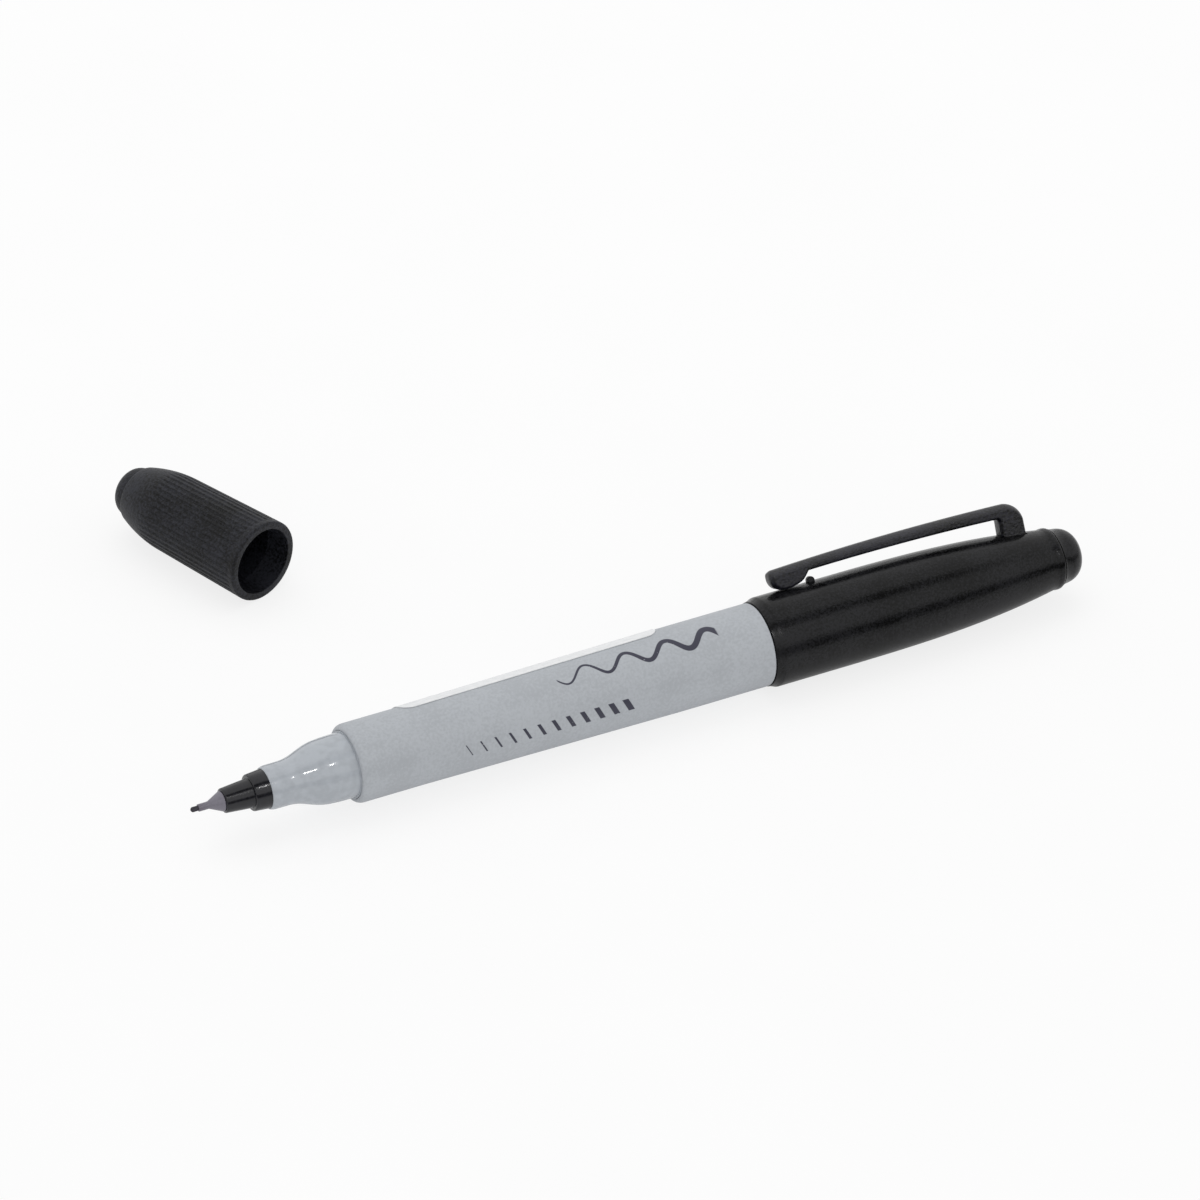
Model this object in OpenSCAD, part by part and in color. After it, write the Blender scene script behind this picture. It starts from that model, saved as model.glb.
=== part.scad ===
// Double-ended permanent marker: a bullet nib under the large clip cap, and an ultra fine
// needle tip whose ribbed cap lies beside it. Millimetres. +X runs along the marker towards
// the large cap, +Z is up, and the origin is on the axis at the middle of the rear grip.

/* [Barrel] */
// Length of the barrel between its two shoulders
barrel_len = 63.2; // [56:0.2:80]
// Outside diameter of the straight stretch at the ultra fine end
barrel_front_d = 11.14; // [10:0.02:13]
// Outside diameter of the straight stretch at the fine end
barrel_rear_d = 11.9; // [11:0.1:14]
// Length of the straight stretch at the ultra fine end
front_land = 10; // [10:0.5:22]
// Length of the straight stretch at the fine end
rear_land = 14; // [12:0.5:20]
// Wall thickness of the barrel
barrel_wall = 0.74; // [0.7:0.01:1.2]
// Depth of the rounding on the barrel's front rim
front_rim = 0.6; // [0.2:0.05:0.65]
// Length of the rounding on the barrel's front rim
front_rim_len = 1; // [0.3:0.1:1.5]
// Rounding of the barrel's rear rim
rim_round = 0.4; // [0.1:0.05:0.6]
// Length of each nose section inside the barrel
spigot_len = 9; // [6:0.5:11]

/* [Ultra fine end] */
// Length of the nose in front of the shoulder
nose_len = 12.1; // [10.5:0.1:16]
// Length of the straight seat for the cap
seat_len = 2.6; // [2:0.1:4]
// Length of the collar at the front of the nose
collar_len = 3.8; // [3.2:0.1:5]
// Length of the rounding on the collar's front edge
collar_round_len = 0.9; // [0.3:0.1:1.5]
// Length of the cone between the collar and the seat's lead-in
flare_len = 3.55; // [2.5:0.05:5]
// Radius by which the cone stays under the seat
flare_drop = 0.24; // [0.1:0.02:0.5]
// Wall of the nose around the tip holder
nose_lip = 0.32; // [0.2:0.01:0.8]
// Diameter of the tip holder where it leaves the nose
holder_d = 5.54; // [4.8:0.02:6.4]
// Length of the holder's thick stretch in front of the nose
holder_rear_len = 2.3; // [1.6:0.1:4]
// Length of the holder's thin stretch
holder_front_len = 4; // [3.6:0.1:6]
// Taper of both stretches of the holder, degrees
holder_draft = 5; // [2:0.5:6]
// Rim of the holder around the ferrule
holder_lip = 0.27; // [0.15:0.01:0.5]
// Diameter of the ferrule's cone at its base
ferrule_base_d = 2.9; // [2.5:0.1:3.6]
// Length of the ferrule's cone
ferrule_cone_len = 2.1; // [1.4:0.1:3]
// Outside diameter of the ferrule's tube
ferrule_tube_d = 1.03; // [0.9:0.01:1.3]
// Length of the ferrule's tube
ferrule_tube_len = 1.5; // [0.8:0.1:2.5]
// Length of the ferrule's shank in the holder
ferrule_shank_len = 3; // [2:0.1:3.4]
// Diameter of the needle tip
needle_d = 0.6; // [0.4:0.02:0.7]
// Length of the needle tip in front of its tube
needle_len = 1.1; // [0.6:0.1:2]
// Diameter of the rod behind the needle tip
rod_d = 1.4; // [1:0.05:1.6]

/* [Fine end] */
// Length of the fine nose behind the rear shoulder
fine_nose_len = 15; // [13:0.1:18]
// Length of its straight seat for the cap
fine_seat_len = 5; // [3:0.1:6]
// Length of the straight collar at its front
fine_collar_len = 5; // [4:0.1:6]
// Wall of the fine nose around its nib
fine_collar_wall = 1.6; // [1.2:0.05:1.8]
// Diameter of the bullet nib
fine_nib_d = 3.2; // [2.6:0.1:3.6]
// Length of the bullet nib in front of its nose
fine_nib_len = 5; // [4:0.1:6]
// Length of the rounded point of the bullet nib
bullet_len = 3.4; // [2:0.1:4]
// Roundness of that point, 2 for an ellipse and less for a sharper point
bullet_power = 1.7; // [1.4:0.05:2.2]

/* [Ink] */
// Radial room between the wrapped core and the barrel
core_room = 0.25; // [0.1:0.05:0.4]
// Thickness of the film sleeve
film = 0.15; // [0.1:0.01:0.3]
// Depth that each nib reaches into the core
nib_dip = 6; // [4:0.5:9]

/* [Caps] */
// Wall of both cap shells at the mouth
cap_wall = 1.13; // [0.95:0.01:1.4]
// Radial room between a cap and its seat
cap_room = 0.3; // [0.2:0.05:0.4]
// Wall of both shells at their closed ends
end_wall = 1.3; // [0.8:0.1:1.6]
// Wall of both sealing liners
liner_wall = 0.7; // [0.5:0.05:0.8]
// Length over which a liner seals on its collar
seal_len = 3; // [2:0.1:3.2]
// Room that a liner leaves around the tip it covers
tip_room = 0.8; // [0.5:0.05:1]
// Diameter of the stud that holds a liner in its shell
stud_d = 4.8; // [4.2:0.1:5.2]

/* [Small cap] */
// Taper of the ribbed body, degrees
small_draft = 1.2; // [0.5:0.01:1.5]
// Length of the ribbed body before it rounds in
small_body_len = 17.2; // [15:0.1:19]
// Diameter of the shell at its closed end
small_end_d = 8.4; // [7.9:0.1:9]
// Diameter of the domed button
small_button_d = 7.5; // [6:0.1:7.8]
// Length of the domed button
small_button_len = 2.95; // [2:0.05:3.4]
// Roundness of both buttons, 2 for an ellipse and more for a flatter end
button_power = 2.7; // [2:0.1:4]
// Wall of the button over the needle tip
small_button_wall = 3.75; // [3:0.05:4.5]
// Rounding of its mouth's outer edge
mouth_round = 0.35; // [0.1:0.05:0.5]
// Radius by which its bore widens at the mouth
mouth_flare = 0.55; // [0.3:0.05:0.7]
// Length over which its bore widens
mouth_flare_len = 1.1; // [0.6:0.1:1.6]
// Number of grooves between the ribs
groove_count = 40; // [24:1:48]
// Depth of the grooves
groove_depth = 0.18; // [0.08:0.01:0.22]
// Radius of the grooves' round bottoms
groove_r = 0.26; // [0.24:0.01:0.34]
// Smooth band between the grooves and the mouth
groove_start = 1; // [0.6:0.1:3]

/* [Large cap] */
// Length of the shell
large_shell_len = 46.9; // [42:0.1:52]
// Length of its straight stretch
large_straight = 10; // [8:0.1:16]
// Power of the curve by which it narrows, 2 for a parabola and more for a later fall
large_power = 3; // [2:0.1:4]
// Length of the tapered lip at its mouth
lip_len = 1.5; // [0.8:0.1:2.5]
// Radius that the lip loses towards the mouth
lip_drop = 0.36; // [0.2:0.02:0.5]
// Diameter of the shell in front of the raised ring at its closed end
large_end_d = 8.66; // [8.4:0.02:10]
// Length of the raised ring
ring_len = 0.9; // [0.6:0.1:2]
// Height of the raised ring
ring_rise = 0.14; // [0.08:0.01:0.3]
// Diameter of the domed button
large_button_d = 8; // [6:0.02:8.2]
// Length of the domed button
large_button_len = 3.85; // [3:0.05:5]
// Length of the liner's wide stretch beyond its seal
liner_wide_len = 18; // [14:0.5:19]
// Distance of the liner's floor from the shell's end wall
liner_floor = 5; // [3:0.1:7]

/* [Clip] */
// Distance of the clip's free end from the cap's mouth
clip_start = 3.5; // [2.5:0.1:4.5]
// Distance of the back of the clip's root from the cap's mouth
clip_end = 43.2; // [40:0.1:44]
// Width of the clip
clip_w = 2.6; // [2:0.1:3.4]
// Height of the clip's outer face above the cap's straight stretch
clip_rise = 3.25; // [2.8:0.1:4.5]
// Radius of the clip's gentle bow
clip_bow_r = 450; // [300:5:700]
// Distance of the top of the bow from the cap's mouth
clip_apex = 22; // [18:0.5:28]
// Thickness of the arm beside the pad
arm_tip_t = 1.2; // [0.9:0.05:1.4]
// Thickness of the arm beside the root
arm_root_t = 1.7; // [1.2:0.05:2]
// Length of the root post along the cap
root_len = 3.7; // [3:0.1:5]
// Outside rounding where the arm turns down into the root
bend_r = 2.6; // [1.5:0.1:3]
// Inside rounding of the same bend
bend_fillet = 0.6; // [0.3:0.05:1]
// Height of the straight stretch on the pad's rounded front
pad_front = 0.2; // [0.1:0.05:0.6]
// Distance of the start of the pad's flat contact from the cap's mouth
pad_contact = 5.25; // [4.8:0.05:7]
// Length of the pad's flat contact
pad_flat = 1.2; // [0.6:0.1:2]
// Length of the pad's slope behind its flat contact
pad_slope_len = 3; // [2.4:0.1:5]
// Length of the shallow first stretch of that slope
pad_kink_len = 1.7; // [1:0.1:2.2]
// Height of the slope where it gets steeper
pad_kink_h = 0.62; // [0.4:0.02:1]
// Depth of the root's tongue in the cap's wall
tongue_depth = 0.75; // [0.4:0.05:0.9]
// Distance of the fabric bead from the cap's mouth
bead_at = 9.8; // [9:0.1:12]
// Diameter of the fabric bead
bead_d = 1.15; // [0.8:0.05:1.4]
// Length of the fabric bead across the cap
bead_len = 0.9; // [0.6:0.1:2.6]
// Height of the bead's centre above the cap
bead_lift = 0.2; // [0.1:0.02:0.4]

/* [Sticker] */
// Distance of the sticker from the front shoulder
sticker_start = 9.2; // [6:0.1:12]
// Length of the sticker along the barrel
sticker_len = 39.5; // [30:0.5:48]
// Width of the sticker around the barrel
sticker_w = 10; // [7:0.5:12]
// Thickness of the sticker
sticker_t = 0.1; // [0.06:0.01:0.2]
// Rounding of the sticker's corners
sticker_corner = 2; // [0.5:0.1:3]

/* [Pose] */
// Turn of the clip back from the top, degrees
clip_lean = 26; // [0:1:40]
// Turn of the sticker's near edge back from the top, degrees
sticker_lean = 9; // [0:1:40]
// Place of the small cap's mouth along the marker, from the rear grip
small_cap_x = -44.4; // [-60:0.1:-20]
// Place of the small cap's mouth beside the marker
small_cap_y = 50.5; // [40:0.1:80]
// Direction that the small cap's mouth faces, degrees from the marker's axis
small_cap_turn = -71; // [-90:0.1:-45]

/* [Fits] */
// Radius by which a cap's seat is under the pressed spigot behind it
seat_relief = 0.2; // [0.16:0.01:0.3]
// Radial gap of pieces that are pressed together
press_gap = 0.03; // [0.02:0.01:0.05]
// Radial gap of the liners' seals
seal_gap = 0.1; // [0.05:0.01:0.15]
// Gap at faces that meet end to end
face_gap = 0.1; // [0.05:0.01:0.2]
// Gap around the clip's tongue and under its pad
clip_gap = 0.12; // [0.1:0.01:0.2]
// Small bevel on leading edges
lead = 0.3; // [0.1:0.05:0.4]
// Small bevel on fine edges
edge = 0.12; // [0.05:0.01:0.15]

/* [Hidden] */

shell_grey = [0.66, 0.68, 0.70];
cap_black = [0.16, 0.16, 0.17];
ribbed_black = [0.20, 0.20, 0.22];
holder_black = [0.10, 0.10, 0.11];
ferrule_grey = [0.47, 0.46, 0.49];
ink_black = [0.08, 0.08, 0.10];
fibre_white = [0.86, 0.86, 0.84];
label_white = [0.91, 0.91, 0.91];

turned_fn = 96;
dome_steps = 14;
ogee_steps = 12;
arc_steps = 5;
sweep_steps = 20;

// The barrel, measured from the front shoulder
front_r = barrel_front_d / 2;
rear_r = barrel_rear_d / 2;
front_bore_r = front_r - barrel_wall;
rear_bore_r = rear_r - barrel_wall;
rear_start = barrel_len - rear_land;
grip_centre = barrel_len - rear_land / 2;
barrel_line = [[0, front_r], [front_land, front_r], [rear_start, rear_r], [barrel_len, rear_r]];

// The ultra fine end, in front of the front shoulder
spigot_r = front_bore_r - press_gap;
chamber_r = spigot_r - barrel_wall;
seat_r = spigot_r - seat_relief;
holder_r = holder_d / 2;
nose_r = holder_r + nose_lip;
holder_step = -nose_len - holder_rear_len;
holder_front = holder_step - holder_front_len;
ferrule_r = ferrule_base_d / 2;
shank_r = ferrule_r - holder_lip;
holder_tip_r = ferrule_r + holder_lip;
holder_thin_r = holder_tip_r + holder_front_len * tan(holder_draft);
holder_thick_r = holder_r - holder_rear_len * tan(holder_draft);
tube_r = ferrule_tube_d / 2;
cone_front = holder_front - ferrule_cone_len;
tube_front = cone_front - ferrule_tube_len;
needle_r = needle_d / 2;
rod_r = rod_d / 2;
rod_bore_r = rod_r + press_gap;
rod_step = rod_r - needle_r;
tip_reach = needle_len - tube_front;

// The fine end, behind the rear shoulder
fine_spigot_r = rear_bore_r - press_gap;
fine_chamber_r = fine_spigot_r - barrel_wall;
fine_seat_r = fine_spigot_r - seat_relief;
fine_nib_r = fine_nib_d / 2;
fine_nib_bore_r = fine_nib_r + press_gap;
fine_collar_r = fine_nib_r + fine_collar_wall;

// The ink core between the two sections
core_front = spigot_len + face_gap;
core_rear = barrel_len - spigot_len - face_gap;
narrow_bore_r = min(front_bore_r, rear_bore_r);
wrap_r = narrow_bore_r - core_room;
core_r = wrap_r - film - press_gap;

// The small cap, measured from its mouth
small_bore_r = seat_r + cap_room;
small_r = small_bore_r + cap_wall;
small_liner_mouth = nose_len - seal_len;
small_socket_len = small_liner_mouth - lead;
small_floor = tip_reach + tip_room;
small_shell_len = small_floor + small_button_wall - small_button_len;
small_round_len = small_shell_len - small_body_len;
small_fall = small_r - small_shell_len * tan(small_draft) - small_end_d / 2;
stud_r = stud_d / 2;

// The large cap, measured from its mouth
large_bore_r = fine_seat_r + cap_room;
large_r = large_bore_r + cap_wall;
ring_start = large_shell_len - ring_len;
large_fall = large_r - large_end_d / 2;
large_sweep_len = ring_start - large_straight;
large_mouth = barrel_len + face_gap;

function dome(r, z, len, power) = [
    for (i = [0:dome_steps])
        let (a = 90 * i / dome_steps)
        [r * pow(cos(a), 2 / power), z + len * pow(sin(a), 2 / power)]];
function ogee(r0, z0, r1, z1) = [
    for (i = [0:ogee_steps])
        let (t = i / ogee_steps)
        [r0 + (r1 - r0) * t * t * (3 - 2 * t), z0 + (z1 - z0) * t]];
function oval(x, y, rx, ry, a0, a1) = [
    for (i = [0:arc_steps])
        let (a = a0 + (a1 - a0) * i / arc_steps)
        [x + rx * cos(a), y + ry * sin(a)]];
function arc(x, y, r, a0, a1) = oval(x, y, r, r, a0, a1);
function stations(z0, z1) = [for (i = [0:sweep_steps]) z0 + (z1 - z0) * i / sweep_steps];

function small_outer(z) = small_r - z * tan(small_draft)
    - small_fall * pow(max(z - small_body_len, 0) / small_round_len, 2);
function large_outer(z) = large_r
    - large_fall * pow(max(z - large_straight, 0) / large_sweep_len, large_power);
function clip_top(z) = large_r + clip_rise - pow(z - clip_apex, 2) / (2 * clip_bow_r);
function arm_t(z) = arm_tip_t + (arm_root_t - arm_tip_t) * (z - clip_start) / (clip_end - clip_start);
function clip_under(z) = clip_top(z) - arm_t(z);

module turned(points) {
    rotate_extrude($fn = turned_fn) polygon(points);
}

// Local Z, from the front shoulder, becomes the marker's +X
module on_axis() {
    translate([-grip_centre, 0, 0]) rotate([0, 90, 0]) children();
}

// Local Z runs from the large cap's mouth to its closed end
module on_large_cap() {
    on_axis() translate([0, 0, large_mouth]) children();
}

// A flat outline of distance from the cap's mouth and height above its axis, standing on the large cap
module on_clip_plane() {
    translate([large_mouth - grip_centre, 0, 0]) rotate([-clip_lean, 0, 0]) rotate([90, 0, 0]) children();
}

// Local Z runs from the small cap's mouth to its domed end, lying on the same table
module on_small_cap() {
    translate([small_cap_x, small_cap_y, small_r - large_r])
        rotate([0, 0, small_cap_turn + 180])
            rotate([0, 90, 0])
                children();
}

// Moulded tube, drafted between its two straight stretches
module barrel() {
    color(shell_grey)
        on_axis()
            turned(concat(
                [[front_bore_r, 0]],
                oval(front_r - front_rim, front_rim_len, front_rim, front_rim_len, -90, 0),
                [[front_r, front_land], [rear_r, rear_start]],
                arc(rear_r - rim_round, barrel_len - rim_round, rim_round, 0, 90),
                [[rear_bore_r, barrel_len], [rear_bore_r, rear_start], [front_bore_r, front_land]]));
}

// Nose of the ultra fine end: rounded collar, cone, cap seat and the spigot in the barrel
module ultra_fine_section() {
    holder_bore_r = holder_r + press_gap;
    round_depth = nose_lip - press_gap;
    flare_start = collar_len - nose_len;
    color(shell_grey)
        on_axis()
            turned(concat(
                oval(holder_bore_r, collar_round_len - nose_len, round_depth, collar_round_len, -90, 0),
                [[nose_r, flare_start], [seat_r - flare_drop, flare_start + flare_len]],
                [[seat_r, -seat_len], [seat_r, -face_gap]],
                [[spigot_r, -face_gap], [spigot_r, spigot_len - lead]],
                [[spigot_r - lead, spigot_len], [chamber_r, spigot_len]],
                [[chamber_r, -seat_len], [holder_bore_r, -seat_len]]));
}

// Stepped tip holder, with a bore for the ferrule's shank and one for the nib's rod
module ultra_fine_holder() {
    shank_end = -seat_len - lead;
    ferrule_end = holder_front + ferrule_shank_len;
    color(holder_black)
        on_axis()
            turned([
                [rod_bore_r, shank_end], [holder_r - lead, shank_end], [holder_r, shank_end - lead],
                [holder_r, -nose_len], [holder_thick_r, holder_step + edge],
                [holder_thick_r - edge, holder_step], [holder_thin_r, holder_step],
                [holder_tip_r, holder_front + edge], [holder_tip_r - edge, holder_front],
                [shank_r + press_gap, holder_front], [shank_r + press_gap, ferrule_end],
                [rod_bore_r, ferrule_end]]);
}

// Cone and needle tube, with a shank in the holder
module ultra_fine_ferrule() {
    shank_end = holder_front + ferrule_shank_len - face_gap;
    color(ferrule_grey)
        on_axis()
            turned([
                [needle_r + press_gap, tube_front], [tube_r - edge / 2, tube_front],
                [tube_r, tube_front + edge / 2], [tube_r, cone_front], [ferrule_r, holder_front - edge],
                [ferrule_r - edge / 2, holder_front - press_gap], [shank_r, holder_front - press_gap],
                [shank_r, shank_end], [rod_bore_r, shank_end], [rod_bore_r, holder_front],
                [needle_r + press_gap, holder_front - rod_step]]);
}

// Needle tip on a rod that reaches back into the ink core
module ultra_fine_nib() {
    rod_front = holder_front + press_gap;
    rod_rear = core_front + nib_dip;
    color(ink_black)
        on_axis()
            turned(concat(
                [[0, rod_rear], [rod_r, rod_rear], [rod_r, rod_front], [needle_r, rod_front - rod_step]],
                dome(needle_r, tube_front - needle_len + needle_r, -needle_r, 2)));
}

// Nose of the fine end, under the large cap
module fine_section() {
    front = barrel_len + fine_nose_len;
    spigot_end = barrel_len - spigot_len;
    seat_start = barrel_len + face_gap;
    seat_end = barrel_len + fine_seat_len;
    color(shell_grey)
        on_axis()
            turned(concat(
                [[fine_chamber_r, spigot_end], [fine_spigot_r - lead, spigot_end]],
                [[fine_spigot_r, spigot_end + lead], [fine_spigot_r, seat_start]],
                [[fine_seat_r, seat_start]],
                ogee(fine_seat_r, seat_end, fine_collar_r, front - fine_collar_len),
                [[fine_collar_r, front - lead], [fine_collar_r - lead, front], [fine_nib_bore_r, front]],
                [[fine_nib_bore_r, seat_end], [fine_chamber_r, seat_end]]));
}

// Bullet nib on a rod that reaches back into the ink core
module fine_nib() {
    point = barrel_len + fine_nose_len + fine_nib_len - bullet_len;
    rod_end = core_rear - nib_dip;
    color(ink_black)
        on_axis()
            turned(concat(
                [[0, rod_end], [fine_nib_r, rod_end]],
                dome(fine_nib_r, point, bullet_len, bullet_power)));
}

// Fibre rod that holds the ink, with a blind hole at each end for a nib
module ink_core() {
    rod_hole = core_front + nib_dip + face_gap;
    nib_hole = core_rear - nib_dip - face_gap;
    color(fibre_white)
        on_axis()
            turned([
                [rod_bore_r, core_front], [core_r, core_front], [core_r, core_rear],
                [fine_nib_bore_r, core_rear], [fine_nib_bore_r, nib_hole], [0, nib_hole],
                [0, rod_hole], [rod_bore_r, rod_hole]]);
}

// Film sleeve round the ink core
module core_wrap() {
    color(label_white)
        on_axis()
            turned([
                [wrap_r - film, core_front], [wrap_r, core_front],
                [wrap_r, core_rear], [wrap_r - film, core_rear]]);
}

// Flat outline of the sticker, with rounded corners
module sticker_outline(width) {
    straight = [sticker_len - 2 * sticker_corner, width - 2 * sticker_corner];
    square([straight.x, width], center = true);
    square([sticker_len, straight.y], center = true);
    for (x = [-1, 1])
        for (y = [-1, 1])
            translate([x * straight.x / 2, y * straight.y / 2])
                circle(sticker_corner, $fn = 48);
}

// Paper label on the back of the barrel: a thin skin on the barrel, cut to the outline
module barrel_sticker() {
    half_turn = sticker_w / barrel_front_d * 180 / PI;
    inner = [for (point = barrel_line) [point[1] + press_gap, point[0]]];
    outer = [for (i = [len(inner) - 1:-1:0]) inner[i] + [sticker_t, 0]];
    color(label_white)
        on_axis()
            intersection() {
                turned(concat(inner, outer));
                rotate([0, 0, 180 - sticker_lean - half_turn])
                    translate([0, 0, sticker_start + sticker_len / 2])
                        rotate([0, 90, 0])
                            linear_extrude(barrel_rear_d)
                                sticker_outline(barrel_front_d * sin(half_turn));
            }
}

// Shell of the ultra fine end's cap: drafted body with ribs, rounding in to an open end
module small_cap() {
    inner_end = small_shell_len - end_wall;
    groove_x = small_outer(groove_start) + groove_r - groove_depth;
    color(ribbed_black)
        on_small_cap()
            difference() {
                turned(concat(
                    [[small_bore_r + mouth_flare, 0]],
                    arc(small_r - mouth_round, mouth_round, mouth_round, -90, 0),
                    [for (z = stations(small_body_len, small_shell_len - edge)) [small_outer(z), z]],
                    [[small_end_d / 2 - edge, small_shell_len], [stud_r + press_gap, small_shell_len]],
                    [[stud_r + press_gap, inner_end]],
                    [for (z = stations(inner_end, small_liner_mouth)) [small_outer(z) - cap_wall, z]],
                    [[small_bore_r, small_socket_len], [small_bore_r, mouth_flare_len]]));
                for (i = [0:groove_count - 1])
                    rotate([0, 0, 360 * i / groove_count])
                        translate([groove_x, 0, groove_start])
                            rotate([0, -small_draft, 0])
                                cylinder(r = groove_r, h = small_shell_len, $fn = 24);
            }
}

// Sealing cup of the small cap, held by a stud that ends in the domed button
module small_cap_liner() {
    mouth = small_liner_mouth;
    seal_r = nose_r + seal_gap;
    holder_room_r = holder_thin_r + tip_room / 2;
    needle_room_r = tube_r + tip_room;
    wide_end = nose_len + holder_rear_len + tip_room;
    thin_end = tip_room - holder_front;
    shoulder = small_shell_len - end_wall - face_gap;
    shoulder_r = small_outer(shoulder) - cap_wall - face_gap;
    color(ribbed_black)
        on_small_cap()
            turned(concat(
                [[seal_r + edge, mouth], [seal_r + liner_wall, mouth], [seal_r + liner_wall, wide_end]],
                [[shoulder_r, shoulder], [stud_r, shoulder], [stud_r, small_shell_len + press_gap]],
                dome(small_button_d / 2, small_shell_len + press_gap, small_button_len, button_power),
                [[0, small_floor], [needle_room_r, small_floor]],
                [[needle_room_r, thin_end + ferrule_cone_len]],
                [[holder_room_r, thin_end], [holder_room_r, wide_end + tip_room], [seal_r, wide_end]],
                [[seal_r, mouth + edge]]));
}

// Shell of the fine end's cap, with the clip's slot and the bead that keeps cloth under the clip
module large_cap() {
    inner_end = large_shell_len - end_wall;
    lip_r = large_r - lip_drop;
    ring_r = large_end_d / 2 + ring_rise;
    slot_low = large_outer(clip_end) - tongue_depth - clip_gap;
    color(cap_black)
        difference() {
            union() {
                on_large_cap()
                    turned(concat(
                        [[large_bore_r + lead, 0], [lip_r - edge, 0], [lip_r, edge], [large_r, lip_len]],
                        [for (z = stations(large_straight, ring_start)) [large_outer(z), z]],
                        [[large_outer(ring_start) + ring_rise, ring_start + ring_rise]],
                        [[ring_r, large_shell_len - edge], [ring_r - edge, large_shell_len]],
                        [[stud_r + press_gap, large_shell_len], [stud_r + press_gap, inner_end]],
                        [for (z = stations(inner_end, large_straight)) [large_outer(z) - cap_wall, z]],
                        [[large_bore_r, lead]]));
                on_clip_plane()
                    translate([bead_at, large_outer(bead_at) + bead_lift, -bead_len / 2])
                        cylinder(d = bead_d, h = bead_len, $fn = 32);
            }
            on_clip_plane()
                translate([clip_end - root_len - clip_gap, slot_low, -clip_w / 2 - clip_gap])
                    cube([root_len + 2 * clip_gap, large_r, clip_w + 2 * clip_gap]);
        }
}

// Sealing cup of the large cap, held by a stud that ends in the domed button
module large_cap_liner() {
    mouth = fine_nose_len - seal_len - face_gap;
    seal_r = fine_collar_r + seal_gap;
    wide_end = mouth + liner_wide_len;
    shoulder = large_shell_len - end_wall - face_gap;
    shoulder_r = stud_r + liner_wall;
    floor_z = shoulder - liner_floor;
    color(cap_black)
        on_large_cap()
            turned(concat(
                [[seal_r + edge, mouth], [seal_r + liner_wall, mouth], [seal_r + liner_wall, wide_end]],
                [[shoulder_r, shoulder], [stud_r, shoulder], [stud_r, large_shell_len + press_gap]],
                dome(large_button_d / 2, large_shell_len + press_gap, large_button_len, button_power),
                [[0, floor_z], [stud_r, floor_z], [seal_r, wide_end], [seal_r, mouth + edge]]));
}

// Bowed spring arm with a thick pad at its free end and a root whose tongue sits in the cap
module clip() {
    root_start = clip_end - root_len;
    tongue = large_outer(clip_end) - tongue_depth;
    pad_low = large_r + clip_gap;
    flat_end = pad_contact + pad_flat;
    slope_end = flat_end + pad_slope_len;
    nose_r = arm_tip_t - lead;
    nose_end = clip_start + nose_r;
    chin_h = clip_top(nose_end) - nose_r - pad_front - pad_low;
    bend_z = clip_end - bend_r;
    bend_tilt = atan((bend_z - clip_apex) / clip_bow_r);
    fillet_z = root_start - bend_fillet;
    color(ribbed_black)
        on_clip_plane()
            linear_extrude(clip_w, center = true)
                polygon(concat(
                    arc(nose_end, clip_top(nose_end) - nose_r, nose_r, 180, 90),
                    [for (z = stations(nose_end + nose_r, bend_z)) [z, clip_top(z)]],
                    arc(bend_z, clip_top(bend_z) - bend_r, bend_r, 90 - bend_tilt, 0),
                    [[clip_end, tongue], [root_start, tongue]],
                    arc(fillet_z, clip_under(fillet_z) - bend_fillet, bend_fillet, 0, 90),
                    [for (z = stations(fillet_z - bend_fillet, slope_end)) [z, clip_under(z)]],
                    [[flat_end + pad_kink_len, pad_low + pad_kink_h], [flat_end, pad_low]],
                    oval(pad_contact, pad_low + chin_h, pad_contact - clip_start, chin_h, 270, 180)));
}

barrel();
ultra_fine_section();
ultra_fine_holder();
ultra_fine_ferrule();
ultra_fine_nib();
fine_section();
fine_nib();
ink_core();
core_wrap();
barrel_sticker();
small_cap();
small_cap_liner();
large_cap();
large_cap_liner();
clip();
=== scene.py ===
import math

import bmesh
import bpy
from mathutils import Matrix, Vector


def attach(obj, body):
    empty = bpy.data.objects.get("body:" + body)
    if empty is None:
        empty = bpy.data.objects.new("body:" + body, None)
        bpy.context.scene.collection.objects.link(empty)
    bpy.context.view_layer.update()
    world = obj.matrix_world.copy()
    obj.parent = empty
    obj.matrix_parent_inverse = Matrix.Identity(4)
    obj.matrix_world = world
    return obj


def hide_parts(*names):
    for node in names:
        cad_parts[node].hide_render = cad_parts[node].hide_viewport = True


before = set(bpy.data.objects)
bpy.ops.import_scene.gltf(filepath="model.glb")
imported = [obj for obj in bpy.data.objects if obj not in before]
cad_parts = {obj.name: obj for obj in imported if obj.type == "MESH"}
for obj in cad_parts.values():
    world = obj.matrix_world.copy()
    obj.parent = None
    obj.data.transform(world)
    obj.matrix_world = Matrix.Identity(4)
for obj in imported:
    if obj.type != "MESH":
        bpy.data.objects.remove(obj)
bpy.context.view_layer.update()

# Ink core: a rod of bonded polyester fibre, soaked with black ink, in a sleeve of thin film.
# It lies in the barrel, and the rod of each nib is pushed into one of its ends.
# Both are hidden inside, so their solids stay as they are and only get a finish.


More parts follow.
